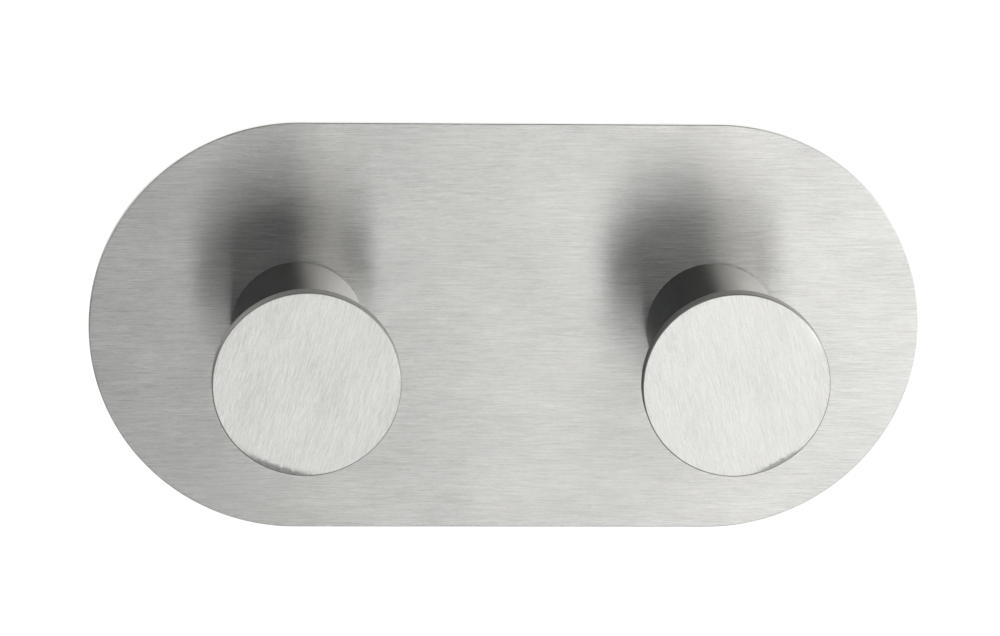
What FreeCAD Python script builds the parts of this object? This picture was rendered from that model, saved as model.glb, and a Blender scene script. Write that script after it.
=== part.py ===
import FreeCAD, Part
import os

# Wall rack: an obround plate with two screwed-on pegs, each ending in a wide flat disc.
# Millimetres. +X runs along the plate, +Z is up, and the front of the rack faces -Y.
# The origin lies on the wall, midway between the two pegs: the pad's rear face is at y = 0.

# Plate and pad
plate_length = 100.0
plate_height = 50.0
plate_thickness = 1.0
plate_edge_break = 0.12
pad_thickness = 1.0
pad_inset = 2.0
peg_spacing = plate_length - plate_height  # the pegs stand on the centres of the round ends

# Pegs
stem_diameter = 16.0
stem_length = 25.0
stem_edge_break = 0.25
head_diameter = 22.0
head_thickness = 2.0
head_edge_break = 0.2

# Fixing bosses: a fine M12 thread outside, a countersunk screw hole inside
thread_diameter = 12.0
boss_length = 10.0
boss_lead_chamfer = 0.6
spigot_diameter = 9.0
spigot_flats = 7.5
spigot_length = 1.5
pad_hole_diameter = 11.0

# Wall screws: 4 x 35, countersunk at 90 degrees, with a cross recess
screw_length = 35.0
screw_thread_diameter = 4.0
screw_shank_diameter = 3.0
screw_head_diameter = 8.0
screw_hole_diameter = 4.4
countersink_diameter = 8.4
screw_point_length = 3.0
recess_width = 0.9
recess_span = 4.4
recess_depth = 1.8

# Friction rings
ring_outer_diameter = 13.9
ring_thickness = 1.1
ring_seat_diameter = 14.0
ring_seat_depth = 1.2

# Weld studs of the heads
stud_diameter = 6.0
stud_length = 8.0
stud_end_chamfer = 0.6
stud_flange_diameter = 8.0
stud_flange_thickness = 0.6

# Clearances
running_clearance = 0.05  # radial, between a thread and its nut, and round a keyed spigot
end_clearance = 1.0       # at the bottom of each blind hole

# Stations along Y, from the wall outwards
wall_y = 0.0
pad_front_y = wall_y - pad_thickness
plate_front_y = pad_front_y - plate_thickness
boss_front_y = plate_front_y - boss_length
stem_front_y = plate_front_y - stem_length
head_front_y = stem_front_y - head_thickness

Y_AXIS = FreeCAD.Vector(0, 1, 0)


def rod(x, y_from, y_to, diameter):
    """A round bar along Y between two stations, whichever of them is nearer the wall."""
    start = FreeCAD.Vector(x, min(y_from, y_to), 0)
    return Part.makeCylinder(diameter / 2, abs(y_to - y_from), start, Y_AXIS)


def taper(x, y_from, y_to, diameter_from, diameter_to):
    """A round taper along +Y, from one diameter to the other."""
    start = FreeCAD.Vector(x, y_from, 0)
    return Part.makeCone(diameter_from / 2, diameter_to / 2, y_to - y_from, start, Y_AXIS)


def turned(x, profile):
    """A solid of revolution round the peg axis at x, from (radius, y) corners in order."""
    corners = [FreeCAD.Vector(x + radius, y, 0) for radius, y in profile]
    face = Part.Face(Part.makePolygon(corners + corners[:1]))
    return face.revolve(FreeCAD.Vector(x, 0, 0), Y_AXIS, 360)


def obround(length, height, y_rear, y_front):
    """A flat bar with fully rounded ends, between two stations."""
    radius = height / 2
    reach = length / 2 - radius
    top_left = FreeCAD.Vector(-reach, y_rear, radius)
    top_right = FreeCAD.Vector(reach, y_rear, radius)
    bottom_left = FreeCAD.Vector(-reach, y_rear, -radius)
    bottom_right = FreeCAD.Vector(reach, y_rear, -radius)
    right_end = Part.Arc(top_right, FreeCAD.Vector(length / 2, y_rear, 0), bottom_right)
    left_end = Part.Arc(bottom_left, FreeCAD.Vector(-length / 2, y_rear, 0), top_left)
    outline = Part.Wire([
        Part.makeLine(top_left, top_right),
        right_end.toShape(),
        Part.makeLine(bottom_right, bottom_left),
        left_end.toShape(),
    ])
    return Part.Face(outline).extrude(FreeCAD.Vector(0, y_front - y_rear, 0))


def keyed_rod(x, y_from, y_to, diameter, flats):
    """A round bar with two flats, one above and one below the axis."""
    slab = Part.makeBox(
        diameter, abs(y_to - y_from), flats,
        FreeCAD.Vector(x - diameter / 2, min(y_from, y_to), -flats / 2),
    )
    return rod(x, y_from, y_to, diameter).common(slab)


def edges_at(shape, y):
    """The edges that lie wholly at one station."""
    return [
        edge for edge in shape.Edges
        if abs(edge.BoundBox.YMin - y) < 1e-6 and abs(edge.BoundBox.YMax - y) < 1e-6
    ]


def wall_pad():
    """Soft pad, a little smaller than the plate, with a hole round each fixing."""
    pad = obround(
        plate_length - 2 * pad_inset, plate_height - 2 * pad_inset, wall_y, pad_front_y
    )
    for x in peg_positions:
        pad = pad.cut(rod(x, wall_y, pad_front_y, pad_hole_diameter))
    return pad


def back_plate():
    """Obround sheet with its front edge broken, and a keyed hole for each boss."""
    sheet = obround(plate_length, plate_height, pad_front_y, plate_front_y)
    sheet = sheet.makeChamfer(plate_edge_break, edges_at(sheet, plate_front_y))
    clearance = 2 * running_clearance
    for x in peg_positions:
        sheet = sheet.cut(keyed_rod(
            x, pad_front_y, plate_front_y,
            spigot_diameter + clearance, spigot_flats + clearance,
        ))
    return sheet


def fixing_boss(x):
    """Threaded boss: its keyed spigot goes through the plate, and a wall screw goes through it."""
    body = turned(x, [
        (0, boss_front_y),
        (thread_diameter / 2 - boss_lead_chamfer, boss_front_y),
        (thread_diameter / 2, boss_front_y + boss_lead_chamfer),
        (thread_diameter / 2, plate_front_y),
        (0, plate_front_y),
    ])
    spigot_end_y = plate_front_y + spigot_length
    body = body.fuse(keyed_rod(x, plate_front_y, spigot_end_y, spigot_diameter, spigot_flats))
    sink_depth = (countersink_diameter - screw_hole_diameter) / 2
    hole = rod(x, boss_front_y, spigot_end_y, screw_hole_diameter)
    sink = taper(
        x, boss_front_y, boss_front_y + sink_depth, countersink_diameter, screw_hole_diameter
    )
    return body.cut(hole).cut(sink).removeSplitter()


def wall_screw(x):
    """Countersunk screw: plain shank inside the boss, full thread from the wall inwards."""
    sunk = (countersink_diameter - screw_head_diameter) / 2 - running_clearance
    top_y = boss_front_y + sunk
    head_height = (screw_head_diameter - screw_shank_diameter) / 2
    tip_y = top_y + screw_length
    blank = turned(x, [
        (0, top_y),
        (screw_head_diameter / 2, top_y),
        (screw_shank_diameter / 2, top_y + head_height),
        (screw_shank_diameter / 2, wall_y),
        (screw_thread_diameter / 2, wall_y),
        (screw_thread_diameter / 2, tip_y - screw_point_length),
        (0, tip_y),
    ])
    half_span = recess_span / 2
    half_width = recess_width / 2
    corner_a = FreeCAD.Vector(x - half_span, top_y, -half_width)
    corner_b = FreeCAD.Vector(x - half_width, top_y, -half_span)
    bar_a = Part.makeBox(recess_span, recess_depth, recess_width, corner_a)
    bar_b = Part.makeBox(recess_width, recess_depth, recess_span, corner_b)
    return blank.cut(bar_a.fuse(bar_b))


def friction_ring(x):
    """Nylon ring that runs on the boss's thread and lies in the back of the stem."""
    front_y = plate_front_y - ring_thickness
    bore = thread_diameter + 2 * running_clearance
    ring = rod(x, plate_front_y, front_y, ring_outer_diameter)
    return ring.cut(rod(x, plate_front_y, front_y, bore))


def peg_stem(x):
    """Turned stem: a threaded bore and ring seat at the back, a tapped hole at the front."""
    radius = stem_diameter / 2
    stem = turned(x, [
        (0, plate_front_y),
        (radius - stem_edge_break, plate_front_y),
        (radius, plate_front_y - stem_edge_break),
        (radius, stem_front_y + stem_edge_break),
        (radius - stem_edge_break, stem_front_y),
        (0, stem_front_y),
    ])
    clearance = 2 * running_clearance
    bore_end_y = boss_front_y - end_clearance
    tapped_end_y = stem_front_y + stud_length + end_clearance
    flange_seat_y = stem_front_y + stud_flange_thickness + clearance
    hollows = [
        rod(x, plate_front_y, plate_front_y - ring_seat_depth, ring_seat_diameter),
        rod(x, plate_front_y, bore_end_y, thread_diameter + clearance),
        rod(x, stem_front_y, tapped_end_y, stud_diameter + clearance),
        rod(x, stem_front_y, flange_seat_y, stud_flange_diameter + clearance),
    ]
    for hollow in hollows:
        stem = stem.cut(hollow)
    return stem


def head_disc(x):
    """Flat disc on the front of the stem, with both of its rims broken."""
    radius = head_diameter / 2
    return turned(x, [
        (0, stem_front_y),
        (radius - head_edge_break, stem_front_y),
        (radius, stem_front_y - head_edge_break),
        (radius, head_front_y + head_edge_break),
        (radius - head_edge_break, head_front_y),
        (0, head_front_y),
    ])


def head_stud(x):
    """Flanged weld stud on the back of the disc, screwed into the stem."""
    flange_y = stem_front_y + stud_flange_thickness
    end_y = stem_front_y + stud_length
    return turned(x, [
        (0, stem_front_y),
        (stud_flange_diameter / 2, stem_front_y),
        (stud_flange_diameter / 2, flange_y),
        (stud_diameter / 2, flange_y),
        (stud_diameter / 2, end_y - stud_end_chamfer),
        (stud_diameter / 2 - stud_end_chamfer, end_y),
        (0, end_y),
    ])


peg_positions = (-peg_spacing / 2, peg_spacing / 2)
nodes = {"wall_pad": wall_pad(), "back_plate": back_plate()}
for side, peg_x in zip(("left", "right"), peg_positions):
    for make in (fixing_boss, wall_screw, friction_ring, peg_stem, head_disc, head_stud):
        nodes[f"{side}_{make.__name__}"] = make(peg_x)

os.makedirs("parts", exist_ok=True)
for name, shape in nodes.items():
    shape.exportStep(f"parts/{name}.step")
    print(f"{name}: {shape.Volume:.1f} mm3, valid {shape.isValid()}, solids {len(shape.Solids)}")
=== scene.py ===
"""The looks of a small wall rack: a brushed steel plate that carries two screwed-on pegs.

Everything is in metres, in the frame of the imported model: +X runs along the plate, +Z is up, the front
faces -Y, and the wall is the plane y = 0. A station is a place along Y, and a reach is a distance from
a peg's axis, which is parallel to Y.
"""

import logging
import math
from collections.abc import Callable, Sequence
from dataclasses import dataclass, field
from enum import Enum
from functools import lru_cache
from typing import NamedTuple

import bmesh
import bpy
import numpy as np
import numpy.typing as npt
from mathutils import Matrix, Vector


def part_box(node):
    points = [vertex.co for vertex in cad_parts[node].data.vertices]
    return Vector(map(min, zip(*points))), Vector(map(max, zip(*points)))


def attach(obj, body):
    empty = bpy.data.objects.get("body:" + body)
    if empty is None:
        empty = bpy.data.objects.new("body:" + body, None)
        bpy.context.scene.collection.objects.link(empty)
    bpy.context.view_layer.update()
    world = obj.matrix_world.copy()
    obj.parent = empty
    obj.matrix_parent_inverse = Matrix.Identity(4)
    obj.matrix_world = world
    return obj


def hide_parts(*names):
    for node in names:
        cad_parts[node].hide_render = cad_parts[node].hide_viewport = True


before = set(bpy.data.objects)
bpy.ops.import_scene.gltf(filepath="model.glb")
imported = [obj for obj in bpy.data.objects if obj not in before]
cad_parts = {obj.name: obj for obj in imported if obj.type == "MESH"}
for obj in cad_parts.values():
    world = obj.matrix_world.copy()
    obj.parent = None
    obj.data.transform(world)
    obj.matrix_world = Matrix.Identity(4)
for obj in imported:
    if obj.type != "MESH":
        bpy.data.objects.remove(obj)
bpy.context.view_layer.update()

LOG = logging.getLogger("wall_rack")

Array = npt.NDArray[np.float64]
Numbers = npt.NDArray[np.int64]
Piece = bpy.types.Object
Socket = bpy.types.NodeSocket
Corner = tuple[float, ...]  # reach, station and, where it isn't the profile's own, the fillet's radius
Reshape = Callable[[Array, Array, Array], tuple[Array, Array]]
Triple = tuple[float, float, float]
Colour = Triple
Edge = tuple[float, float]  # a soft edge: where it begins and where it ends

MM = 0.001
FULL_TURN = 2 * math.pi
ORIGIN: Triple = (0.0, 0.0, 0.0)
NOISE_SPAN: Edge = (0.30, 0.70)  # soft noise seldom leaves this
MERGE_DISTANCE = 1e-7  # points nearer than this are one
TINY = 1e-9  # a difference that only rounding makes
ALMOST = 0.999  # keeps a fillet from using up the whole of a side
SUPPORT_DISTANCE = 0.06 * MM  # keeps the shading of a flat face flat right up to its rounded edge
SHARP_EDGE = math.radians(38)


# ---- surfaces


def smooth(share: Array) -> Array:
    """Eases a share from 0 to 1: 3 s^2 - 2 s^3 of the share, clipped to 0 and 1."""
    clipped = np.clip(share, 0.0, 1.0)
    return clipped * clipped * (3 - 2 * clipped)


def unit(vector: Array) -> Array:
    """The vector divided by its length."""
    return vector / np.linalg.norm(vector)


def rounded_corner(before: Array, corner: Array, after: Array, fillet: float, steps: int) -> Array:
    """The arc that rounds one corner.

    The arc touches both sides at fillet / tan(half angle) from the corner. Its centre is fillet /
    sin(half angle) away, along the bisector, and its points turn evenly from one side to the other.

    Args:
        before: The corner before this one, as (reach, station).
        corner: The corner to round.
        after: The corner after this one.
        fillet: The arc's radius.
        steps: How many pieces the arc has.

    Returns:
        The arc's points, or the corner itself where it is left sharp.
    """
    if fillet == 0.0:
        return corner[None]
    back, on = unit(before - corner), unit(after - corner)
    half = math.acos(float(np.clip(back @ on, -1.0, 1.0))) / 2
    centre = corner + unit(back + on) * fillet / math.sin(half)
    start, end = (corner + way * fillet / math.tan(half) - centre for way in (back, on))
    sweep = math.pi - 2 * half
    share = np.linspace(0.0, 1.0, steps + 1)[:, None]
    return centre + (np.sin((1 - share) * sweep) * start + np.sin(share * sweep) * end) / math.sin(sweep)


def rounded_path(corners: Sequence[Corner], fillet: float, closed: bool = False, steps: int = 5) -> Array:
    """Runs a line through corners, rounds each one, and adds a point near each end of each straight run.

    Args:
        corners: The corners in order.
        fillet: The radius that rounds a corner with none of its own; an open line's ends stay sharp.
        closed: Whether the last corner runs on to the first.
        steps: How many pieces each rounded corner has.

    Returns:
        Rows of (reach, station).
    """
    places = np.array([corner[:2] for corner in corners])
    fillets = [corner[2] if len(corner) > 2 else fillet for corner in corners]
    if not closed:
        fillets[0] = fillets[-1] = 0.0
    neighbours = zip(np.roll(places, 1, axis=0), places, np.roll(places, -1, axis=0), fillets)
    arcs = [rounded_corner(*neighbour, steps) for neighbour in neighbours]
    parts: list[Array] = []
    for arc, next_arc in zip(arcs, arcs[1:] + arcs[:1]):
        run = next_arc[0] - arc[-1]
        margin = min(SUPPORT_DISTANCE / max(float(np.linalg.norm(run)), MERGE_DISTANCE), 1 / 3)
        parts += [arc, arc[-1] + run * np.array([[margin], [1 - margin]])]
    return np.concatenate(parts if closed else parts[:-1])


def divided(path: Array, reach: float, spacing: float) -> Array:
    """Adds evenly spaced points along the straight runs that lie at one reach.

    Args:
        path: Rows of (reach, station).
        reach: The reach of the runs to divide.
        spacing: The longest step left on them.

    Returns:
        The path with the added points.
    """
    length = np.abs(np.diff(path[:, 1]))
    level = np.isclose(path[:, 0], reach, atol=MERGE_DISTANCE)
    index = np.arange(len(path))
    steps = [
        begin + np.linspace(0.0, 1.0, 1 + math.ceil(length[begin] / spacing))
        for begin in np.flatnonzero(level[:-1] & level[1:])
    ]
    place = np.unique(np.concatenate([index, *steps]))
    return np.stack([np.interp(place, index, column) for column in path.T], axis=-1)


def turned(path: Array, axis_x: float, segments: int, reshape: Reshape | None = None) -> Array:
    """Carries a profile round a peg's axis: x = axis + reach cos(turn), z = reach sin(turn).

    Args:
        path: Rows of (reach, station).
        axis_x: Where the axis stands along X.
        segments: How many steps there are in a full turn.
        reshape: Takes (reach, station, turn) and gives the changed (reach, station).

    Returns:
        A grid of points, a row for each point of the profile and a column for each step of the turn.
    """
    turn = np.linspace(0.0, FULL_TURN, segments, endpoint=False)[None, :]
    reach, station = path[:, :1], path[:, 1:]
    if reshape is not None:
        reach, station = reshape(reach, station, turn)
    grid = np.broadcast_arrays(axis_x + reach * np.cos(turn), station, reach * np.sin(turn))
    return np.stack(grid, axis=-1)


@dataclass
class Skin:
    """A closed skin, put together from grids of points that meet edge to edge."""

    points: list[Array] = field(default_factory=list)
    quads: list[Numbers] = field(default_factory=list)
    coats: list[Numbers] = field(default_factory=list)

    def add(
        self, grid: Array, coat: int = 0, round_rows: bool = False, round_columns: bool = True
    ) -> None:
        """Adds the quads between the neighbours of one grid.

        Args:
            grid: The points, as rows, columns and coordinates.
            coat: The number of the finish that these faces take.
            round_rows: Whether the last row joins the first.
            round_columns: Whether the last column joins the first.
        """
        rows, columns = grid.shape[:2]
        index = np.arange(rows * columns).reshape(rows, columns) + sum(len(part) for part in self.points)
        if round_rows:
            index = np.concatenate([index, index[:1]], axis=0)
        if round_columns:
            index = np.concatenate([index, index[:, :1]], axis=1)
        corners = (index[:-1, :-1], index[1:, :-1], index[1:, 1:], index[:-1, 1:])
        quads = np.stack(corners, axis=-1).reshape(-1, 4)
        self.points.append(grid.reshape(-1, 3))
        self.quads.append(quads)
        self.coats.append(np.full(len(quads), coat))

    def piece(self, name: str, finishes: Sequence["Finish"]) -> Piece:
        """Makes the object: merges coinciding points, turns every face outwards and dresses it.

        Args:
            name: The piece's name.
            finishes: The finishes, in the order of the coat numbers.

        Returns:
            The object, at the origin.
        """
        mesh = bpy.data.meshes.new(name)
        mesh.from_pydata(np.concatenate(self.points).tolist(), [], np.concatenate(self.quads).tolist())
        mesh.polygons.foreach_set("material_index", np.concatenate(self.coats).astype(np.int32))
        work = bmesh.new()
        work.from_mesh(mesh)
        bmesh.ops.remove_doubles(work, verts=work.verts, dist=MERGE_DISTANCE)
        bmesh.ops.recalc_face_normals(work, faces=work.faces)
        work.to_mesh(mesh)
        work.free()
        mesh.polygons.foreach_set("use_smooth", np.ones(len(mesh.polygons), dtype=bool))
        mesh.set_sharp_from_angle(angle=SHARP_EDGE)
        for finish in finishes:
            mesh.materials.append(material_of(finish))
        return put_in_scene(name, mesh)


def put_in_scene(name: str, data: bpy.types.ID) -> Piece:
    """Makes an object of a mesh or a camera, at the origin of the scene."""
    made = bpy.data.objects.new(name, data)
    bpy.context.scene.collection.objects.link(made)
    return made


@dataclass(frozen=True)
class Thread:
    """A right-handed helical thread.

    Its phase is station / pitch + turn / full turn, so a ridge comes nearer the front as it turns from
    +X to +Z, which is right-handed. Across one phase the surface is flat on the crest and falls to the
    root and back in a straight-sided V. The V fades out over run_out at each end.
    """

    pitch: float
    depth: float
    front: float
    rear: float
    run_out: float
    crest: float = 0.2
    rows_per_pitch: int = 12

    def groove(self, station: Array, turn: Array) -> Array:
        """How far the surface lies from the crest, for stations and turns."""
        phase = (station / self.pitch + turn / FULL_TURN) % 1.0
        vee = np.clip((1 - np.abs(2 * phase - 1) - self.crest) / (1 - self.crest), 0.0, 1.0)
        fade = smooth((station - self.front) / self.run_out) * smooth((self.rear - station) / self.run_out)
        return self.depth * vee * fade

    @property
    def spacing(self) -> float:
        """The distance between two rows of points along the thread."""
        return self.pitch / self.rows_per_pitch


# ---- shader arithmetic


def operator(operation: str, reflected: bool = False) -> Callable[["Value", "Value | float"], "Value"]:
    """An operator that adds one Math node, with its two sides swapped where it is reflected."""

    def method(value: "Value", other: "Value | float") -> "Value":
        """The two sides put through the Math node."""
        sides = (other, value) if reflected else (value, other)
        made = value.shader.node("ShaderNodeMath", {"operation": operation}, dict(enumerate(sides)))
        return Value(value.shader, made.outputs[0])

    return method


class Value:
    """A number that a shader works out, which adds its own nodes when it takes part in a sum."""

    def __init__(self, shader: "Shader", socket: Socket) -> None:
        """Wraps an output socket of the shader."""
        self.shader = shader
        self.socket = socket

    __add__ = operator("ADD")
    __radd__ = operator("ADD", reflected=True)
    __sub__ = operator("SUBTRACT")
    __rsub__ = operator("SUBTRACT", reflected=True)
    __mul__ = operator("MULTIPLY")
    __rmul__ = operator("MULTIPLY", reflected=True)
    __truediv__ = operator("DIVIDE")
    __rtruediv__ = operator("DIVIDE", reflected=True)
    at_least = operator("MAXIMUM")

    def between(self, low: float, high: float) -> "Value":
        """Eases from 0 at low to 1 at high."""
        made = self.shader.node(
            "ShaderNodeMapRange",
            {"interpolation_type": "SMOOTHSTEP", "clamp": True},
            {"Value": self, "From Min": low, "From Max": high},
        )
        return Value(self.shader, made.outputs[0])

    def band(self, begin: Edge, end: Edge) -> "Value":
        """1 between two soft edges and 0 outside them."""
        return self.between(*begin) * (1 - self.between(*end))


class Shader:
    """The nodes of one material or of the world."""

    def __init__(self, owner: bpy.types.Material | bpy.types.World) -> None:
        """Starts with an empty node tree."""
        owner.use_nodes = True
        self.tree = owner.node_tree
        self.tree.nodes.clear()

    def node(
        self,
        kind: str,
        settings: dict[str, object] | None = None,
        inputs: dict[str | int, object] | None = None,
    ) -> bpy.types.Node:
        """Adds a node.

        Args:
            kind: The node's type.
            settings: Its settings, which are set before its sockets.
            inputs: A number, a vector, a socket or a Value for each named or numbered input.

        Returns:
            The node.
        """
        made = self.tree.nodes.new(kind)
        for key, setting in (settings or {}).items():
            setattr(made, key, setting)
        by_identifier = {socket.identifier: socket for socket in made.inputs}
        for key, given in (inputs or {}).items():
            socket = made.inputs[key] if isinstance(key, int) else by_identifier[key]
            if isinstance(given, Value):
                given = given.socket
            if isinstance(given, Socket):
                self.tree.links.new(given, socket)
            else:
                socket.default_value = given
        return made

    def placed(self, centre: Triple, size: Triple, turn: float = 0.0) -> Socket:
        """The place on the piece, counted from a centre in steps of a size along each axis.

        Args:
            centre: The point that counts as zero.
            size: The length of one step along X, Y and Z, after the turn.
            turn: The angle about Y that the steps are turned by.

        Returns:
            The place as a vector.
        """
        place = self.node("ShaderNodeTexCoord").outputs["Object"]
        mapping = self.node(
            "ShaderNodeMapping",
            {"vector_type": "TEXTURE"},
            {"Vector": place, "Location": centre, "Rotation": (0.0, turn, 0.0), "Scale": size},
        )
        return mapping.outputs[0]

    def noise(self, place: Socket, detail: float = 2.0, rough: float = 0.5) -> Value:
        """Soft noise, about one blotch to a step, mostly inside NOISE_SPAN."""
        made = self.node(
            "ShaderNodeTexNoise", {}, {"Vector": place, "Scale": 1.0, "Detail": detail, "Roughness": rough}
        )
        return Value(self, made.outputs[0])

    def blotches(self, size: float, detail: float = 3.0) -> Value:
        """Soft noise with round blotches of one size."""
        return self.noise(self.placed(ORIGIN, (size,) * 3), detail)

    def swayed(
        self, place: Socket, wave: Socket, steps: Triple
    ) -> Socket:
        """A place moved by slow noise, so that straight lines waver a little.

        Args:
            place: The place to move.
            wave: The same place, counted in steps as long as one wave.
            steps: The furthest that it moves along each axis, in its own steps.

        Returns:
            The moved place.
        """
        slow = self.node("ShaderNodeTexNoise", {}, {"Vector": wave, "Scale": 1.0, "Detail": 1.0})
        sides = {0: slow.outputs["Color"], 1: steps, 2: place}
        return self.node("ShaderNodeVectorMath", {"operation": "MULTIPLY_ADD"}, sides).outputs[0]

    def blend(self, share: Value, low: Colour, high: Colour) -> Socket:
        """A colour between two, by a share from 0 to 1."""
        made = self.node(
            "ShaderNodeMix",
            {"data_type": "RGBA"},
            {"Factor_Float": share, "A_Color": (*low, 1.0), "B_Color": (*high, 1.0)},
        )
        return next(socket for socket in made.outputs if socket.identifier == "Result_Color")

    def bump(self, height: Value, depth: float) -> Socket:
        """The normal of a surface whose height runs from 0 to depth."""
        made = self.node("ShaderNodeBump", {}, {"Strength": 1.0, "Distance": depth, "Height": height})
        return made.outputs[0]

    def surface(self, **inputs: object) -> None:
        """Ends the material in one surface shader; a name's underscores stand for its spaces."""
        named = {key.replace("_", " "): given for key, given in inputs.items()}
        made = self.node("ShaderNodeBsdfPrincipled", {}, named)
        self.node("ShaderNodeOutputMaterial", {}, {"Surface": made.outputs[0]})


# ---- finishes


class Grain(Enum):
    """Which way the brush ran over a flat face, as the angle of its lines from upright."""

    ALONG_PLATE = 90.0
    LEANS_RIGHT = 15.0
    LEANS_LEFT = -15.0


@dataclass(frozen=True)
class Finish:
    """What every finish has: a name and a colour, and a way to build its nodes."""

    name: str
    colour: Colour

    def build(self, shader: Shader) -> None:
        """Adds the finish's nodes to an empty material."""
        raise NotImplementedError

    def shades(self, shader: Shader, share: Value, dark: float, light: float) -> Socket:
        """The colour, dark times as bright where the share is 0 and light times where it is 1."""
        low, high = (
            tuple(min(channel * factor, 1.0) for channel in self.colour) for factor in (dark, light)
        )
        return shader.blend(share, low, high)


class Streaks(NamedTuple):
    """A set of brush streaks: how many times wider and longer than the finest, and how high."""

    wider: float
    longer: float
    height: float


@dataclass(frozen=True)
class BrushedSteel(Finish):
    """Flat steel brushed in straight lines that waver a little.

    Fine, short and coarse streaks add up to a height from 0 to 1, which shifts the colour and the
    roughness and tilts the surface. Dents only tilt it, rare scratches sink and darken it, and slow clouds
    shift its colour.
    """

    grain: Grain
    centre: Triple = ORIGIN
    contrast: float = 0.29
    roughness: float = 0.35
    roughness_swing: float = 0.14
    spread: float = 1.0
    streak_width: float = 0.11 * MM
    streak_length: float = 3.4 * MM
    streak_roughness: float = 0.6
    fine: Streaks = Streaks(1.0, 1.0, 0.5)
    short: Streaks = Streaks(0.9, 0.18, 0.28)
    coarse: Streaks = Streaks(2.6, 3.0, 0.22)
    dents: Streaks = Streaks(1.8, 0.9, 5.0)
    scratches: Streaks = Streaks(1.4, 4.0, -0.5)
    scratch_edge: Edge = (0.66, 0.80)
    depth: float = 0.0045 * MM
    cloud: Triple = (6 * MM, 6 * MM, 9 * MM)
    streak_tone: float = 0.8
    cloud_tone: float = 0.4
    scratch_tone: float = -0.35
    wander: float = 0.9 * MM
    wave: Triple = (3 * MM, 3 * MM, 10 * MM)

    def build(self, shader: Shader) -> None:
        """Adds the streaks, the long reflections across them and the slow unevenness of the brushing."""
        lean = math.radians(self.grain.value)
        sets = (self.fine, self.short, self.coarse, self.dents, self.scratches)
        fine, short, coarse, dents, scratches = (self.streaks(shader, lean, one) for one in sets)
        scratch = scratches.between(*self.scratch_edge)
        height = fine * self.fine.height + short * self.short.height + coarse * self.coarse.height
        cloud = shader.noise(shader.placed(self.centre, self.cloud, lean))
        tone = height.between(*NOISE_SPAN) * self.streak_tone + cloud * self.cloud_tone
        tone = tone + scratch * self.scratch_tone
        tilt = height + dents * self.dents.height + scratch * self.scratches.height
        shader.surface(
            Base_Color=self.shades(shader, tone, 1 - self.contrast, 1 + self.contrast),
            Metallic=1.0,
            Roughness=self.roughness + (height - 0.5) * self.roughness_swing,
            Anisotropic=self.spread,
            Anisotropic_Rotation=(-self.grain.value / 360.0) % 1.0,
            Normal=shader.bump(tilt, self.depth),
        )

    def streaks(self, shader: Shader, lean: float, one: Streaks) -> Value:
        """One set of streaks, as noise that is drawn out along the lean and sways."""
        length, width = self.streak_length * one.longer, self.streak_width * one.wider
        place = shader.placed(self.centre, (width, width, length), lean)
        wave = shader.placed(self.centre, self.wave, lean)
        swayed = shader.swayed(place, wave, (self.wander / width, 0.0, 0.0))
        return shader.noise(swayed, rough=self.streak_roughness)


@dataclass(frozen=True)
class TurnedSteel(Finish):
    """Steel turned on a lathe: fine rings round the axis, and slow bands along it."""

    centre: Triple = ORIGIN
    roughness: float = 0.24
    ring: Triple = (16 * MM, 0.09 * MM, 16 * MM)
    ring_swing: float = 0.08
    band: Triple = (9 * MM, 1.2 * MM, 9 * MM)
    band_swing: float = 0.14
    depth: float = 0.0009 * MM

    def build(self, shader: Shader) -> None:
        """Adds the rings, the bands and a little unevenness round the piece."""
        rings = shader.noise(shader.placed(self.centre, self.ring), rough=0.6)
        bands = shader.noise(shader.placed(self.centre, self.band))
        shader.surface(
            Base_Color=self.shades(shader, (rings + bands) * 0.5, dark=0.92, light=1.08),
            Metallic=1.0,
            Roughness=self.roughness + (bands - 0.5) * self.band_swing + (rings - 0.5) * self.ring_swing,
            Normal=shader.bump(rings, self.depth),
        )


@dataclass(frozen=True)
class PlatedSteel(Finish):
    """Zinc-plated steel: bright, with soft cloudy patches and tiny pits."""

    roughness: float = 0.28
    roughness_swing: float = 0.30
    patch: float = 1.4 * MM
    pit: float = 0.12 * MM
    depth: float = 0.002 * MM

    def build(self, shader: Shader) -> None:
        """Adds the patches and the pits."""
        clouds = shader.blotches(self.patch)
        shader.surface(
            Base_Color=self.shades(shader, clouds.between(*NOISE_SPAN), dark=0.88, light=1.08),
            Metallic=1.0,
            Roughness=self.roughness + (clouds - 0.5) * self.roughness_swing,
            Normal=shader.bump(shader.blotches(self.pit, detail=2.0), self.depth),
        )


@dataclass(frozen=True)
class Nylon(Finish):
    """Natural nylon: waxy, slightly mottled, with the faint texture of its mould."""

    roughness: float = 0.42
    roughness_swing: float = 0.2
    mottle: float = 1.1 * MM
    texture: float = 0.08 * MM
    depth: float = 0.004 * MM
    glow: float = 0.25
    glow_depth: float = 0.6 * MM

    def build(self, shader: Shader) -> None:
        """Adds the mottling, the mould texture and the light that goes in under the surface."""
        mottle = shader.blotches(self.mottle)
        shader.surface(
            Base_Color=self.shades(shader, mottle, dark=0.93, light=1.04),
            Roughness=self.roughness + (mottle - 0.5) * self.roughness_swing,
            Subsurface_Weight=self.glow,
            Subsurface_Scale=self.glow_depth,
            Normal=shader.bump(shader.blotches(self.texture, detail=2.0), self.depth),
        )


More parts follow.
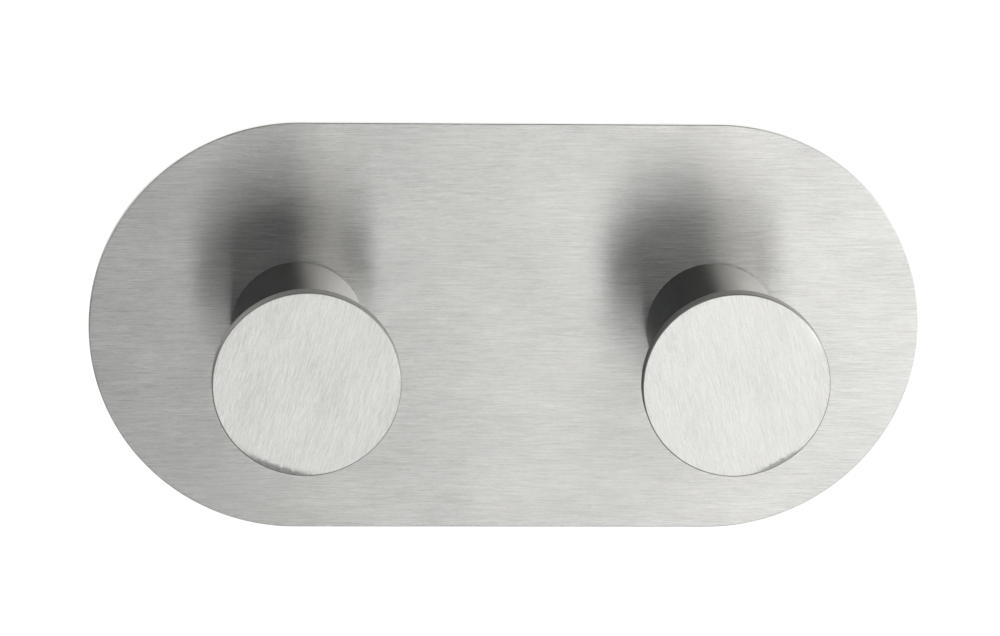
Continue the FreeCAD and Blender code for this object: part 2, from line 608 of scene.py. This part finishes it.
@dataclass(frozen=True)
class FoamRubber(Finish):
    """Closed-cell foam rubber: matt and dark, with fine cells that open at the surface."""

    roughness: float = 0.84
    roughness_swing: float = 0.2
    cell: float = 0.22 * MM
    cell_wall: Edge = (0.1, 0.65)
    cell_tone: float = 0.6
    patch: float = 6 * MM
    depth: float = 0.03 * MM

    def build(self, shader: Shader) -> None:
        """Adds the cells and a slow change of shade."""
        place = shader.placed(ORIGIN, (self.cell,) * 3)
        nearest = shader.node("ShaderNodeTexVoronoi", {}, {"Vector": place, "Scale": 1.0})
        cells = Value(shader, nearest.outputs[0]).between(*self.cell_wall)
        shade = shader.blotches(self.patch)
        tone = cells * self.cell_tone + shade * (1 - self.cell_tone)
        shader.surface(
            Base_Color=self.shades(shader, tone, dark=0.55, light=1.5),
            Roughness=self.roughness + (shade - 0.5) * self.roughness_swing,
            Normal=shader.bump(cells, self.depth),
        )


@lru_cache(maxsize=None)
def material_of(finish: Finish) -> bpy.types.Material:
    """The finish's material, made once."""
    made = bpy.data.materials.new(finish.name)
    finish.build(Shader(made))
    return made


# ---- the rack


class Side(Enum):
    """Which of the two pegs."""

    LEFT = "left"
    RIGHT = "right"


class Slot(Enum):
    """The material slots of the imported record."""

    PLATE = "plate_steel"
    HEAD = "head_steel"
    STEM = "stem_steel"
    PLAIN = "plain_steel"
    SCREW = "screw_zinc"
    RING = "ring_nylon"
    PAD = "pad_foam"


STEEL: Colour = (0.618, 0.620, 0.615)
DARK_STEEL: Colour = (0.520, 0.510, 0.485)
# painted light: the heads' steel is made a little lighter than the plate's same steel, standing in for the
# heads' brighter look
LIT_HEAD_STEEL: Colour = (0.648, 0.650, 0.645)
# painted shade: the disc rim's steel is darkened to about half the head's colour, standing in for the dark
# band that the rim shows
SHADED_RIM_STEEL: Colour = (0.330, 0.327, 0.318)
ZINC: Colour = (0.72, 0.73, 0.75)
NATURAL_NYLON: Colour = (0.86, 0.84, 0.77)
BLACK_RUBBER: Colour = (0.05, 0.05, 0.052)
WARM_LIGHT: Colour = (1.000, 0.990, 0.965)
COOL_LIGHT: Colour = (0.900, 1.000, 1.080)
PALE_PAINT: Colour = (0.93, 0.93, 0.93)
WHITE: Colour = (1.0, 1.0, 1.0)


class Extent(NamedTuple):
    """What a CAD node's box says about a piece that was turned round a peg's axis."""

    axis_x: float
    reach: float
    front: float
    rear: float


def extent_of(node: str) -> Extent:
    """Reads a turned piece's axis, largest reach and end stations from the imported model."""
    low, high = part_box(node)
    return Extent((low.x + high.x) / 2, (high.z - low.z) / 2, low.y, high.y)


def register(piece: Piece, body: str, node: str) -> Piece:
    """Lets a finished piece ride on its body and stand for its CAD node, which it hides."""
    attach(piece, body)
    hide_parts(node)
    return piece


def flat_cut(reach: Array | float, flat: float, turn: Array) -> Array:
    """A round outline with a flat above and below: the smaller of reach and flat / |sin(turn)|."""
    return np.minimum(reach, flat / np.maximum(np.abs(np.sin(turn)), TINY))


@dataclass
class ObroundSheet:
    """A flat sheet with fully rounded ends, and a hole on the centre of each.

    Each half of a face is spread between its hole and its outline: point = (1 - share) hole + share
    outline, for a turn round the hole and a share from 0 to 1. Going round, the outline follows the round
    end, the straight side, the middle of the sheet, and the other straight side. The rim is a rounded
    profile carried along the outline.
    """

    node: str
    slot: Slot
    face_finish: Finish
    edge_finish: Finish
    hole_reach: float
    hole_flat: float
    front_edge: float
    rear_edge: float
    end_steps: int = 180
    side_steps: int = 24

    def __post_init__(self) -> None:
        """Reads the sheet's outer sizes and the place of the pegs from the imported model."""
        low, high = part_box(self.node)
        self.half_height = (high.z - low.z) / 2
        self.front, self.rear = low.y, high.y
        self.centre_x = (high.x - low.x) / 2 - self.half_height
        self.axis_x = extent_of("right_peg_stem").axis_x

    def loop(self) -> Array:
        """Goes round the right half, eighth by eighth of a turn.

        Returns:
            Four rows: the turn round the hole, x of the nearest point on the sheet's spine, and x and z of
            the way outwards from there, which is as long as the part of the half height that it covers.
        """
        eighth, centre = FULL_TURN / 8, self.centre_x
        end = np.linspace(-2 * eighth, 2 * eighth, self.end_steps, endpoint=False)
        side = np.linspace(0.0, 1.0, self.side_steps, endpoint=False)
        middle = np.linspace(1.0, -1.0, 2 * self.side_steps, endpoint=False)
        return np.concatenate([
            np.stack([end, centre + 0 * end, np.cos(end), np.sin(end)]),
            np.stack([eighth * (2 + side), centre * (1 - side), 0 * side, 1 + 0 * side]),
            np.stack([eighth * (4 - middle), 0 * middle, 0 * middle, middle]),
            np.stack([eighth * (5 + side), centre * side, 0 * side, 0 * side - 1]),
        ], axis=1)

    def hole(self, turn: Array) -> tuple[Array, Array]:
        """The hole's outline in the right half, as x and z."""
        hole = flat_cut(self.hole_reach, self.hole_flat, turn)
        return self.axis_x + hole * np.cos(turn), hole * np.sin(turn)

    def face(self, station: float, inset: float, half: float) -> Array:
        """One half of the front or rear face.

        Args:
            station: Where the face lies.
            inset: How far inside the outline the face ends, which is the edge's radius.
            half: 1 for the right half, -1 for the left.

        Returns:
            A grid: rows from the hole to the outline, columns round the hole.
        """
        turn, spine, out_x, out_z = self.loop()
        hole_x, hole_z = self.hole(turn)
        outer = self.half_height - inset
        near = SUPPORT_DISTANCE / self.half_height
        share = np.array([0.0, near, 0.25, 0.5, 0.75, 1 - near, 1.0])[:, None]
        x = (1 - share) * hole_x + share * (spine + out_x * outer)
        z = (1 - share) * hole_z + share * out_z * outer
        return np.stack([half * x, np.full_like(x, station), z], axis=-1)

    def rim(self, half: float) -> Array:
        """The rounded edge of one half, from the middle of the bottom to the middle of the top."""
        begin = -self.side_steps
        rows = self.loop()
        _, spine, out_x, out_z = np.concatenate(
            [rows[:, begin:], rows[:, :self.end_steps + self.side_steps + 1]], axis=1
        )
        reach = self.half_height
        profile = rounded_path([
            (reach - self.front_edge, self.front),
            (reach, self.front, self.front_edge * ALMOST),
            (reach, self.rear, self.rear_edge * ALMOST),
            (reach - self.rear_edge, self.rear),
        ], fillet=0.0)
        x = half * (spine + out_x * profile[:, :1])
        return np.stack(np.broadcast_arrays(x, profile[:, 1:], out_z * profile[:, :1]), axis=-1)

    def bore(self, half: float) -> Array:
        """The wall of one hole."""
        x, z = self.hole(self.loop()[0])
        station = np.array([[self.front], [self.rear]])
        return np.stack(np.broadcast_arrays(half * x, station, z), axis=-1)

    def make(self) -> list[Piece]:
        """Builds and dresses the sheet."""
        skin = Skin()
        for half in (1.0, -1.0):
            skin.add(self.face(self.front, self.front_edge, half), coat=0)
            skin.add(self.face(self.rear, self.rear_edge, half), coat=1)
            skin.add(self.rim(half), coat=1, round_columns=False)
            skin.add(self.bore(half), coat=1)
        piece = skin.piece(f"{self.node}_made", [self.face_finish, self.edge_finish])
        return [register(piece, "rack", self.node)]


@dataclass
class PegParts:
    """Pieces that stand on the axis of one peg."""

    side: Side

    def named(self, part: str) -> str:
        """The name of a part, body or finish on this side."""
        return f"{self.side.value}_{part}"

    def finished(
        self,
        part: str,
        grids: Sequence[Array],
        finishes: Sequence[Finish],
        body: str,
        slot: Slot,
        closed: bool = False,
    ) -> Piece:
        """Puts turned grids together into a piece, dresses it and registers it.

        Args:
            part: The CAD node that it stands for, without its side.
            grids: The grids, one for each finish.
            finishes: The finishes.
            body: The body it rides on.
            slot: The record's material slot; not used.
            closed: Whether the profile is a loop.

        Returns:
            The piece.
        """
        skin = Skin()
        for coat, grid in enumerate(grids):
            skin.add(grid, coat, round_rows=closed)
        node = self.named(part)
        return register(skin.piece(f"{node}_made", finishes), body, node)


@dataclass
class WallFixing(PegParts):
    """What holds one peg to the wall: a threaded boss, its wall screw and the friction ring."""

    boss_bore: float = 2.2 * MM
    countersink: float = 4.2 * MM
    spigot_reach: float = 4.5 * MM
    spigot_flat: float = 3.75 * MM
    lead_chamfer: float = 0.6 * MM
    boss_edge: float = 0.08 * MM
    boss_pitch: float = 1.0 * MM
    boss_thread_depth: float = 0.54 * MM
    boss_run_out: float = 0.9 * MM
    ring_bore: float = 6.05 * MM
    ring_edge: float = 0.18 * MM
    head_edge: float = 0.1 * MM
    head_rings: int = 44
    screw_core: float = 1.32 * MM
    screw_shank: float = 1.5 * MM
    screw_thread: float = 2.0 * MM
    screw_pitch: float = 1.8 * MM
    screw_rows: int = 16
    ridge_half_width: float = 0.24
    ridge_fade_in: float = 0.8
    screw_point: float = 4.5 * MM
    point_curve: float = 0.62
    ridge_curve: float = 0.8
    recess_arm: float = 2.2 * MM
    recess_half_width: float = 0.45 * MM
    recess_wall: float = 0.16 * MM
    recess_depth: float = 1.7 * MM
    recess_rise: float = 0.45
    segments: int = 112

    def __post_init__(self) -> None:
        """Reads the three pieces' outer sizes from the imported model."""
        self.boss, self.screw, self.ring = (
            extent_of(self.named(part)) for part in ("fixing_boss", "wall_screw", "friction_ring")
        )
        self.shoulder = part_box("back_plate")[0].y
        self.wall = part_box("wall_pad")[1].y

    def make_boss(self) -> Piece:
        """The boss: thread outside, countersunk bore inside, and a spigot with two flats."""
        boss, edge = self.boss, self.boss_edge
        path = rounded_path([
            (self.countersink, boss.front),
            (self.boss_bore, boss.front + (self.countersink - self.boss_bore)),
            (self.boss_bore, boss.rear),
            (self.spigot_reach, boss.rear),
            (self.spigot_reach, self.shoulder),
            (boss.reach, self.shoulder),
            (boss.reach, boss.front + self.lead_chamfer),
            (boss.reach - self.lead_chamfer, boss.front),
        ], edge, closed=True)
        thread = Thread(
            self.boss_pitch, self.boss_thread_depth, boss.front, self.shoulder, self.boss_run_out
        )

        def reshape(reach: Array, station: Array, turn: Array) -> tuple[Array, Array]:
            """Cuts the thread into the outside and the two flats into the spigot."""
            in_spigot = station > self.shoulder + edge / 2
            cut = reach - thread.groove(station, turn) * (reach > self.spigot_reach + edge)
            return np.where(in_spigot, flat_cut(cut, self.spigot_flat, turn), cut), station

        grid = turned(divided(path, boss.reach, thread.spacing), boss.axis_x, self.segments, reshape)
        finish = TurnedSteel("machined_steel", DARK_STEEL, roughness=0.30)
        return self.finished("fixing_boss", [grid], [finish], "rack", Slot.PLAIN, closed=True)

    def make_screw(self) -> Piece:
        """The wall screw: a cross recess, a plain shank and a coarse thread down to its point."""
        screw, edge = self.screw, self.head_edge
        top = np.linspace(0.0, screw.reach - 1.2 * edge, self.head_rings)
        face = np.stack([top, np.full_like(top, screw.front)], axis=-1)
        cone = rounded_path([
            (screw.reach - edge, screw.front),
            (screw.reach, screw.front + edge, edge / 2),
            (self.screw_shank, screw.front + (screw.reach - self.screw_shank)),
            (self.screw_shank, self.wall - 2 * edge),
        ], fillet=2 * edge)
        rows = int((screw.rear - self.wall) / (self.screw_pitch / self.screw_rows))
        station = np.linspace(self.wall, screw.rear, rows)
        left = np.minimum((screw.rear - station) / self.screw_point, 1.0)
        shaft = np.stack([self.screw_core * left**self.point_curve, station], axis=-1)

        def reshape(reach: Array, station: Array, turn: Array) -> tuple[Array, Array]:
            """Sinks the cross into the head and raises the thread on the shaft."""
            on_top = (station <= screw.front + TINY) & (reach < screw.reach - 1.1 * edge)
            sunk = self.recess(reach * np.cos(turn), reach * np.sin(turn))
            return reach + self.ridge(station, turn), station + np.where(on_top, sunk, 0.0)

        grid = turned(np.concatenate([face, cone, shaft]), self.boss.axis_x, self.segments, reshape)
        return self.finished("wall_screw", [grid], [PlatedSteel("zinc_plate", ZINC)], "rack", Slot.SCREW)

    def recess(self, x: Array, z: Array) -> Array:
        """How deep the cross recess is at a point of the head: two crossed bars with steep sides."""
        upright = np.maximum(np.abs(x) - self.recess_half_width, np.abs(z) - self.recess_arm)
        level = np.maximum(np.abs(z) - self.recess_half_width, np.abs(x) - self.recess_arm)
        inside = -np.minimum(upright, level) / self.recess_wall
        rise = 1 - self.recess_rise * np.hypot(x, z) / self.recess_arm
        return self.recess_depth * np.clip(inside, 0.0, 1.0) * np.clip(rise, 0.0, 1.0)

    def ridge(self, station: Array, turn: Array) -> Array:
        """How far the wood thread stands out of its core: a narrow ridge that fades in and tapers off."""
        phase = (station / self.screw_pitch + turn / FULL_TURN) % 1.0
        shape = np.clip(1 - np.abs(phase - 0.5) / self.ridge_half_width, 0.0, 1.0)
        begun = smooth((station - self.wall) / (self.ridge_fade_in * self.screw_pitch))
        left = np.clip((self.screw.rear - station) / self.screw_point, 0.0, 1.0)
        return (self.screw_thread - self.screw_core) * shape * begun * left**self.ridge_curve

    def make_ring(self) -> Piece:
        """The friction ring: a flat ring with soft edges."""
        ring = self.ring
        path = rounded_path([
            (self.ring_bore, ring.front),
            (self.ring_bore, ring.rear),
            (ring.reach, ring.rear),
            (ring.reach, ring.front),
        ], self.ring_edge, closed=True)
        grid = turned(path, ring.axis_x, self.segments)
        finish = Nylon("natural_nylon", NATURAL_NYLON)
        return self.finished("friction_ring", [grid], [finish], self.named("ring"), Slot.RING, closed=True)

    def make(self) -> list[Piece]:
        """Builds and dresses the three pieces."""
        return [self.make_boss(), self.make_screw(), self.make_ring()]


@dataclass(frozen=True)
class WornEdge:
    """A place where the brush rolled over a disc's edge.

    The face drops by drop times the square of the way across a band, and the drop fades as a bell with
    the angle from the middle. The band is up to a third wider or narrower where the strokes of the brush
    ran further or stopped short. The strokes are a sum of sines across the brush, each with its rate in
    radians a millimetre and its start.
    """

    middle: float
    spread: float
    width: float
    drop: float
    strokes: tuple[tuple[float, float], ...] = ((4.9, 0.0), (8.3, 1.0), (12.7, 2.0))

    def depth(self, reach: Array, turn: Array, rim: float, lean: float) -> Array:
        """How far the face is lowered.

        Args:
            reach: How far the points are from the disc's axis.
            turn: Their turn round it.
            rim: The reach of the disc's rim.
            lean: The lean of the brush's strokes from upright.

        Returns:
            The depth of each point.
        """
        across = rim * np.cos(turn + lean) / MM
        stroke = sum(np.sin(across * rate + start) for rate, start in self.strokes) / len(self.strokes)
        width = self.width * (1 + stroke / 3)
        into = np.clip((reach - (rim - width)) / width, 0.0, 1.0)
        away = (turn - math.radians(self.middle) + math.pi) % FULL_TURN - math.pi
        return self.drop * into**2 * np.exp(-((away / math.radians(self.spread)) ** 2))


@dataclass
class Peg(PegParts):
    """One peg: a turned stem, a flat disc on its front end, and the stud that joins them."""

    grain: Grain
    worn: tuple[WornEdge, ...]
    streak_contrast: float
    small_edge: float = 0.06 * MM
    stem_edge: float = 0.22 * MM
    disc_edge: float = 0.14 * MM
    worn_band: float = 1.4 * MM
    worn_rings: int = 18
    plain_rings: int = 8
    pitch: float = 1.0 * MM
    thread_depth: float = 0.5 * MM
    thread_run_out: float = 0.8 * MM
    bore_reach: float = 6.05 * MM
    bore_depth: float = 11.0 * MM
    plain_end: float = 1.0 * MM
    seat_reach: float = 7.0 * MM
    seat_depth: float = 1.2 * MM
    tapped_reach: float = 3.05 * MM
    tapped_depth: float = 9.0 * MM
    flange_seat_reach: float = 4.05 * MM
    flange_seat_depth: float = 0.7 * MM
    flange_reach: float = 4.0 * MM
    flange_thickness: float = 0.6 * MM
    stud_reach: float = 3.0 * MM
    stud_chamfer: float = 0.6 * MM
    stem_segments: int = 224
    disc_segments: int = 448
    stud_segments: int = 96

    def __post_init__(self) -> None:
        """Reads the outer sizes of the stem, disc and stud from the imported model."""
        self.stem, self.disc, self.stud = (
            extent_of(self.named(part)) for part in ("peg_stem", "head_disc", "head_stud")
        )
        self.body = self.named("peg")
        self.centre = (self.stem.axis_x, 0.0, 0.0)
        self.turned_finish = TurnedSteel(f"turned_steel_{self.side.value}", DARK_STEEL, self.centre)

    def make_stem(self) -> Piece:
        """The stem, from the bottom of its rear bore round the outside to the bottom of its front hole."""
        stem = self.stem
        bore_end = stem.rear - self.bore_depth
        seat = stem.rear - self.seat_depth
        flange_seat = stem.front + self.flange_seat_depth
        tapped_end = stem.front + self.tapped_depth
        path = rounded_path([
            (0.0, bore_end),
            (self.bore_reach, bore_end),
            (self.bore_reach, seat),
            (self.seat_reach, seat),
            (self.seat_reach, stem.rear),
            (stem.reach, stem.rear, self.stem_edge),
            (stem.reach, stem.front, self.stem_edge),
            (self.flange_seat_reach, stem.front),
            (self.flange_seat_reach, flange_seat),
            (self.tapped_reach, flange_seat),
            (self.tapped_reach, tapped_end),
            (0.0, tapped_end),
        ], self.small_edge)
        begin = bore_end + self.plain_end
        thread = Thread(self.pitch, self.thread_depth, begin, seat, self.thread_run_out, rows_per_pitch=8)

        def reshape(reach: Array, station: Array, turn: Array) -> tuple[Array, Array]:
            """Cuts the thread outwards into the rear bore."""
            in_bore = np.isclose(reach, self.bore_reach, atol=TINY)
            return reach + thread.groove(station, turn) * in_bore, station

        path = divided(path, self.bore_reach, thread.spacing)
        grid = turned(path, stem.axis_x, self.stem_segments, reshape)
        return self.finished("peg_stem", [grid], [self.turned_finish], self.body, Slot.STEM)

    def make_disc(self) -> Piece:
        """The disc: a brushed front, a turned rim and back, and an edge that the brush rolled over."""
        disc, edge = self.disc, self.disc_edge
        corners = [(0.0, disc.rear), (disc.reach, disc.rear), (disc.reach, disc.front), (0.0, disc.front)]
        rim = rounded_path(corners, edge, steps=6)
        level = rim[:, 0] < disc.reach - edge * ALMOST
        on_back = level & (rim[:, 1] > (disc.front + disc.rear) / 2)
        rings = np.concatenate([
            np.linspace(disc.reach - edge, disc.reach - self.worn_band, self.worn_rings),
            np.linspace(disc.reach - self.worn_band, 0.0, self.plain_rings)[1:],
        ])
        front = np.stack([rings, np.full_like(rings, disc.front)], axis=-1)
        parts = (front, rim[~level], rim[on_back])
        face, shoulder, back = (turned(part, disc.axis_x, self.disc_segments, self.wear) for part in parts)
        grids = [face, np.concatenate([shoulder, face[:1]]), np.concatenate([back, shoulder[:1]])]
        side = self.side.value
        # the brushed front takes the lighter copy of the steel colour: real brushed grain, with painted
        # light for the heads' brighter look
        brushed = BrushedSteel(
            f"brushed_head_{side}",
            LIT_HEAD_STEEL,
            self.grain,
            self.centre,
            self.streak_contrast,
            streak_width=0.08 * MM,
            streak_length=1.1 * MM,
            dents=Streaks(1.8, 0.45, 3.0),
        )
        # the rim and shoulder take a real turned finish with a darkened steel colour, which is painted
        # shade for the rim's dark band
        shaded_rim_finish = TurnedSteel(f"shaded_turned_rim_{side}", SHADED_RIM_STEEL, self.centre, roughness=0.46)
        back_finish = TurnedSteel(f"turned_back_{side}", STEEL, self.centre)
        return self.finished("head_disc", grids, [brushed, shaded_rim_finish, back_finish], self.body, Slot.HEAD)

    def wear(self, reach: Array, station: Array, turn: Array) -> tuple[Array, Array]:
        """Lowers the front at the worn places, and shortens the rim below them in proportion."""
        lean = math.radians(self.grain.value)
        drop = sum(place.depth(reach, turn, self.disc.reach, lean) for place in self.worn)
        share = (self.disc.rear - station) / (self.disc.rear - self.disc.front)
        return reach, station + drop * share

    def make_stud(self) -> Piece:
        """The flanged, threaded stud on the back of the disc."""
        stud, small, chamfer = self.stud, self.small_edge, self.stud_chamfer
        flange = stud.front + self.flange_thickness
        path = rounded_path([
            (0.0, stud.front),
            (self.flange_reach, stud.front),
            (self.flange_reach, flange),
            (self.stud_reach, flange),
            (self.stud_reach, stud.rear - chamfer),
            (self.stud_reach - chamfer, stud.rear),
            (0.0, stud.rear),
        ], small)
        thread = Thread(self.pitch, self.thread_depth, flange, stud.rear, self.thread_run_out)

        def reshape(reach: Array, station: Array, turn: Array) -> tuple[Array, Array]:
            """Cuts the thread into the shaft."""
            on_shaft = (station > flange + small) & (reach > self.stud_reach - chamfer)
            return reach - thread.groove(station, turn) * on_shaft, station

        path = divided(path, self.stud_reach, thread.spacing)
        grid = turned(path, stud.axis_x, self.stud_segments, reshape)
        return self.finished("head_stud", [grid], [self.turned_finish], self.body, Slot.PLAIN)

    def make(self) -> list[Piece]:
        """Builds and dresses the three pieces."""
        return [self.make_stem(), self.make_disc(), self.make_stud()]


# ---- the studio


def tangents(begin: float, end: float) -> Edge:
    """A soft edge between two angles in degrees, as their tangents."""
    return math.tan(math.radians(begin)), math.tan(math.radians(end))


@dataclass(frozen=True)
class Tent:
    """A large tent that only reflections see: dark ahead on the left, bright on the right and behind.

    Its light is added up from soft boxes, each with a strength and soft edges. For the boxes in front an
    edge lies between two tangents of angles, to the right of straight ahead or below the horizon. For the
    others it lies between two shares of the tent's radius.
    """

    radius: float = 6.0
    rings: int = 32
    dark_side: float = 0.055
    horizon: Edge = tangents(1.5, 8.5)
    near_edge: Edge = tangents(0.6, 3.2)
    far_edge: Edge = tangents(15, 24)
    low_box: float = 3.4
    low_foot: Edge = tangents(23, 36)
    low_left: float = 0.7
    low_left_edge: Edge = tangents(-10, -6)
    high_box: float = 0.9
    high_edge: Edge = tangents(2.6, 9.0)
    high_top: Edge = tangents(30, 60)
    side_box_low: float = 0.85
    side_box_high: float = 0.8
    left_fill: float = 0.5
    left_fill_edge: Edge = tangents(28, 55)
    back_fill: float = 0.45
    back_edge: Edge = (-0.05, 0.25)
    backdrop: float = 1.3
    backdrop_foot: Edge = (-0.02, 0.12)
    backdrop_top: Edge = (0.4, 0.6)
    beside_box: float = 1.6
    beside_edge: Edge = (0.82, 0.92)
    beside_foot: Edge = (-0.8, -0.6)
    beside_top: Edge = (0.27, 0.36)
    warmth: Edge = (0.05, 0.4)

    def light(self, x: Value, y: Value, z: Value) -> Value:
        """How strong the light is at a place on the tent."""
        ahead = (0.0 - y).at_least(MM)
        across, down = x / ahead, (0.0 - z) / ahead
        below = down.between(*self.horizon)
        near, far = across.between(*self.near_edge), across.between(*self.far_edge)
        high = (1 - below) * (1 - (0.0 - down).between(*self.high_top))
        light = down.band(self.horizon, self.low_foot) * near * (1 - far) * self.low_box
        light = light + below * (1 - near) * across.between(*self.low_left_edge) * self.low_left
        light = light + high * across.between(*self.high_edge) * self.high_box
        light = light + far * (below * self.side_box_low + high * self.side_box_high)
        light = light + (0.0 - across).between(*self.left_fill_edge) * self.left_fill + self.dark_side
        behind = (y / self.radius).between(*self.back_edge)
        light = light * (1 - behind) + behind * self.back_fill
        height = z / self.radius
        beside = (x / self.radius).between(*self.beside_edge)
        beside = beside * height.band(self.beside_foot, self.beside_top)
        raised = behind * height.band(self.backdrop_foot, self.backdrop_top)
        return light + beside * self.beside_box + raised * self.backdrop

    def make(self) -> None:
        """Builds the tent and lights it, cool where it is dark and warm where it is bright."""
        mesh = bpy.data.meshes.new("light_tent")
        work = bmesh.new()
        bmesh.ops.create_uvsphere(
            work, u_segments=2 * self.rings, v_segments=self.rings, radius=self.radius
        )
        work.to_mesh(mesh)
        work.free()
        material = bpy.data.materials.new("tent_light")
        shader = Shader(material)
        place = shader.node("ShaderNodeTexCoord").outputs["Object"]
        axes = shader.node("ShaderNodeSeparateXYZ", {}, {"Vector": place}).outputs
        light = self.light(*(Value(shader, axis) for axis in axes))
        tint = shader.blend(light.between(*self.warmth), COOL_LIGHT, WARM_LIGHT)
        glow = shader.node("ShaderNodeEmission", {}, {"Color": tint, "Strength": light})
        shader.node("ShaderNodeOutputMaterial", {}, {"Surface": glow.outputs[0]})
        mesh.materials.append(material)
        tent = put_in_scene("light_tent", mesh)
        tent.visible_camera = tent.visible_diffuse = tent.visible_shadow = False
        tent.visible_transmission = tent.visible_volume_scatter = False


@dataclass(frozen=True)
class Studio:
    """A white room with a low floor, even light from all round and a long lens."""

    yaw: float = math.radians(4.484)
    pitch: float = math.radians(14.380)
    roll: float = math.radians(1.292)
    distance: float = 0.73546
    lens: float = 220.08
    sensor_width: float = 36.0
    view_from: float = 0.05
    view_to: float = 200.0
    aim: Triple = (-0.60 * MM, -1.0 * MM, 0.86 * MM)
    floor_level: float = -0.9
    floor_half_width: float = 30.0
    floor_roughness: float = 0.9
    room_light: float = 1.1

    def make_camera(self) -> None:
        """Aims the camera: turned to the right, tipped down and rolled, from the left of the middle."""
        data = bpy.data.cameras.new("camera")
        data.lens, data.sensor_width = self.lens, self.sensor_width
        data.clip_start, data.clip_end = self.view_from, self.view_to
        camera = put_in_scene("camera", data)
        turned_right = Matrix.Rotation(-self.yaw, 4, "Z")
        tipped_down = Matrix.Rotation(math.pi / 2 - self.pitch, 4, "X")
        drawn_back = Matrix.Rotation(self.roll, 4, "Z") @ Matrix.Translation((0.0, 0.0, self.distance))
        camera.matrix_world = Matrix.Translation(self.aim) @ turned_right @ tipped_down @ drawn_back
        bpy.context.scene.camera = camera

    def make_floor(self) -> None:
        """A plain pale floor, well below the rack, which reflections don't show."""
        reach = self.floor_half_width
        corners = [(-reach, -reach), (reach, -reach), (reach, reach), (-reach, reach)]
        mesh = bpy.data.meshes.new("floor")
        mesh.from_pydata([(*corner, self.floor_level) for corner in corners], [], [(0, 1, 2, 3)])
        material = bpy.data.materials.new("floor_paint")
        Shader(material).surface(Base_Color=(*PALE_PAINT, 1.0), Roughness=self.floor_roughness)
        mesh.materials.append(material)
        floor = put_in_scene("floor", mesh)
        floor.visible_glossy = False

    def make_world(self) -> None:
        """Even white light from all round, which reflections don't show."""
        world = bpy.data.worlds.new("room")
        shader = Shader(world)
        sockets = {"Color": (*WHITE, 1.0), "Strength": self.room_light}
        glow = shader.node("ShaderNodeBackground", {}, sockets)
        shader.node("ShaderNodeOutputWorld", {}, {"Surface": glow.outputs[0]})
        world.cycles_visibility.glossy = False
        bpy.context.scene.world = world
        bpy.context.scene.view_settings.view_transform = "Standard"

    def make(self) -> None:
        """Builds the camera, the floor and the light."""
        self.make_camera()
        self.make_floor()
        Tent().make()
        self.make_world()


def main() -> None:
    """Builds the studio, the sheets, the fixings and the pegs in order, and reports each piece."""
    logging.basicConfig(level=logging.INFO, format="%(message)s")
    Studio().make()
    pad = ObroundSheet(
        node="wall_pad",
        slot=Slot.PAD,
        face_finish=FoamRubber("foam_face", BLACK_RUBBER),
        edge_finish=FoamRubber("foam_edge", BLACK_RUBBER),
        hole_reach=5.5 * MM,
        hole_flat=5.5 * MM,
        front_edge=0.1 * MM,
        rear_edge=0.3 * MM,
    )
    plate = ObroundSheet(
        node="back_plate",
        slot=Slot.PLATE,
        face_finish=BrushedSteel("brushed_plate", STEEL, Grain.ALONG_PLATE),
        edge_finish=TurnedSteel("cut_edge", STEEL, roughness=0.35),
        hole_reach=4.55 * MM,
        hole_flat=3.8 * MM,
        front_edge=0.12 * MM,
        rear_edge=0.05 * MM,
    )
    left_wear = (WornEdge(251, 20, 1.1 * MM, 0.19 * MM), WornEdge(27, 8, 0.4 * MM, 0.16 * MM))
    right_wear = (WornEdge(300, 17, 1.0 * MM, 0.17 * MM), WornEdge(34, 7, 0.4 * MM, 0.16 * MM))
    sub_assemblies = (
        pad,
        plate,
        WallFixing(Side.LEFT),
        WallFixing(Side.RIGHT),
        Peg(Side.LEFT, Grain.LEANS_RIGHT, left_wear, streak_contrast=0.27),
        Peg(Side.RIGHT, Grain.LEANS_LEFT, right_wear, streak_contrast=0.20),
    )
    for sub_assembly in sub_assemblies:
        for piece in sub_assembly.make():
            piece.data.calc_loop_triangles()
            LOG.info("%s: %d triangles", piece.name, len(piece.data.loop_triangles))


if __name__ == "__main__":
    main()
